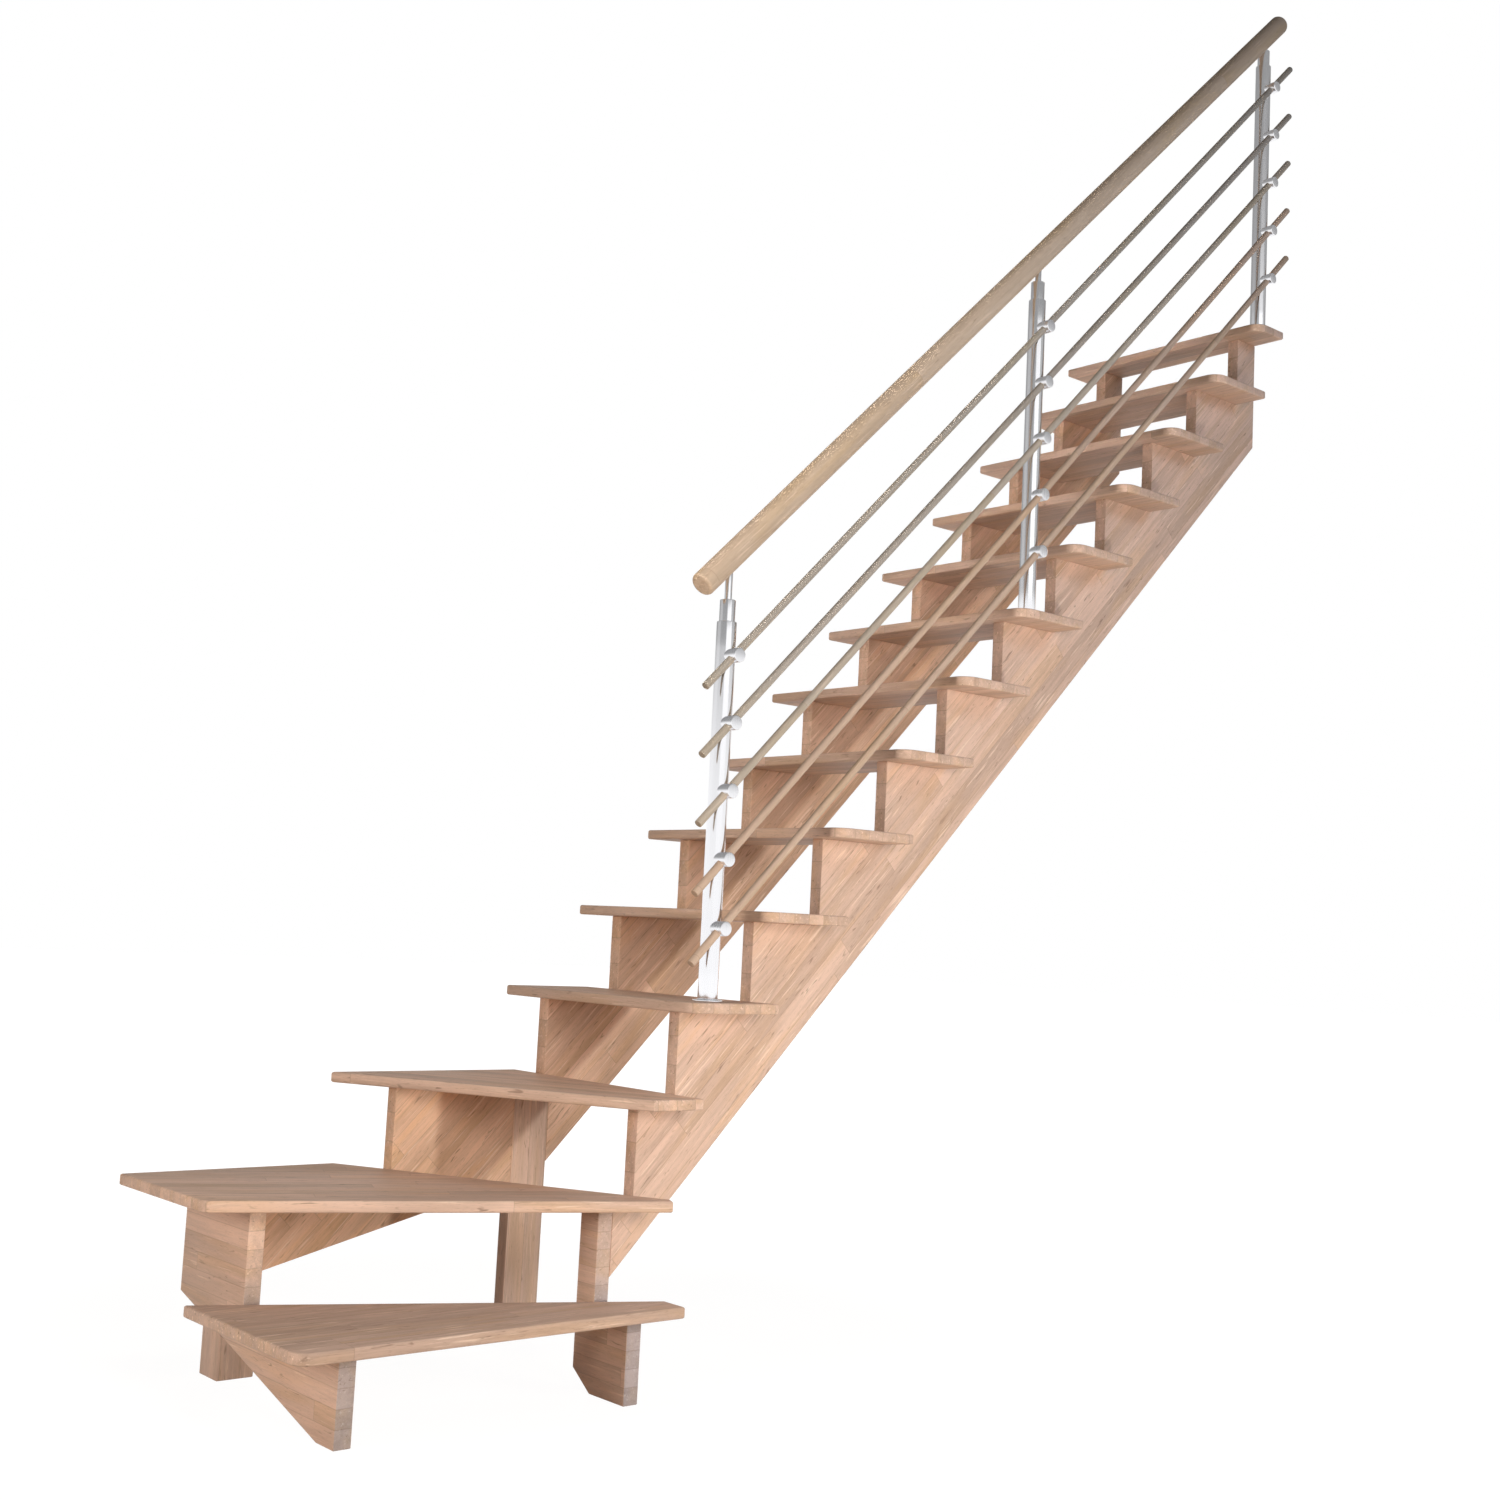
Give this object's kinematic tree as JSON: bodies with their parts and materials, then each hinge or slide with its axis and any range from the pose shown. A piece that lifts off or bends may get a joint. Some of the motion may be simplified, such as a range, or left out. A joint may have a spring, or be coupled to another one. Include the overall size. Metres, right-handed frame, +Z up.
{
  "type": "staircase",
  "caption": "Open wooden quarter-turn staircase with sawtooth stringers, winder treads at the foot and a one-sided rail of round wooden bars clamped to steel posts.",
  "frame": {"origin": "middle of the junction post's foot, on the floor", "axes": "+X up the straight flight, +Y to the left of someone walking up it, +Z up"},
  "size_m": [3.0984, 0.801, 3.8107],
  "materials": {
    "tread_wood": "clear satin lacquer",
    "board_wood": "clear satin lacquer",
    "rail_wood": "clear satin lacquer",
    "steel": "fine brushed"
  },
  "bodies": {
    "root": {"tread_01": "tread_wood", "tread_02": "tread_wood", "tread_03": "tread_wood", "tread_04": "tread_wood", "tread_05": "tread_wood", "tread_06": "tread_wood", "tread_07": "tread_wood", "tread_08": "tread_wood", "tread_09": "tread_wood", "tread_10": "tread_wood", "tread_11": "tread_wood", "tread_12": "tread_wood", "tread_13": "tread_wood", "tread_14": "tread_wood", "stringer_near": "board_wood", "stringer_far": "board_wood", "stringer_back": "board_wood", "stringer_left": "board_wood", "stringer_inner": "board_wood", "post_corner": "board_wood", "post_junction": "board_wood", "handrail": "rail_wood", "rod_1": "rail_wood", "rod_2": "rail_wood", "rod_3": "rail_wood", "rod_4": "rail_wood", "rod_5": "rail_wood", "post_flanges": "steel", "post_tubes": "steel", "post_sleeves": "steel", "post_pins": "steel", "clamps_1": "steel", "clamps_2": "steel", "clamps_3": "steel"}
  },
  "joints": []
}
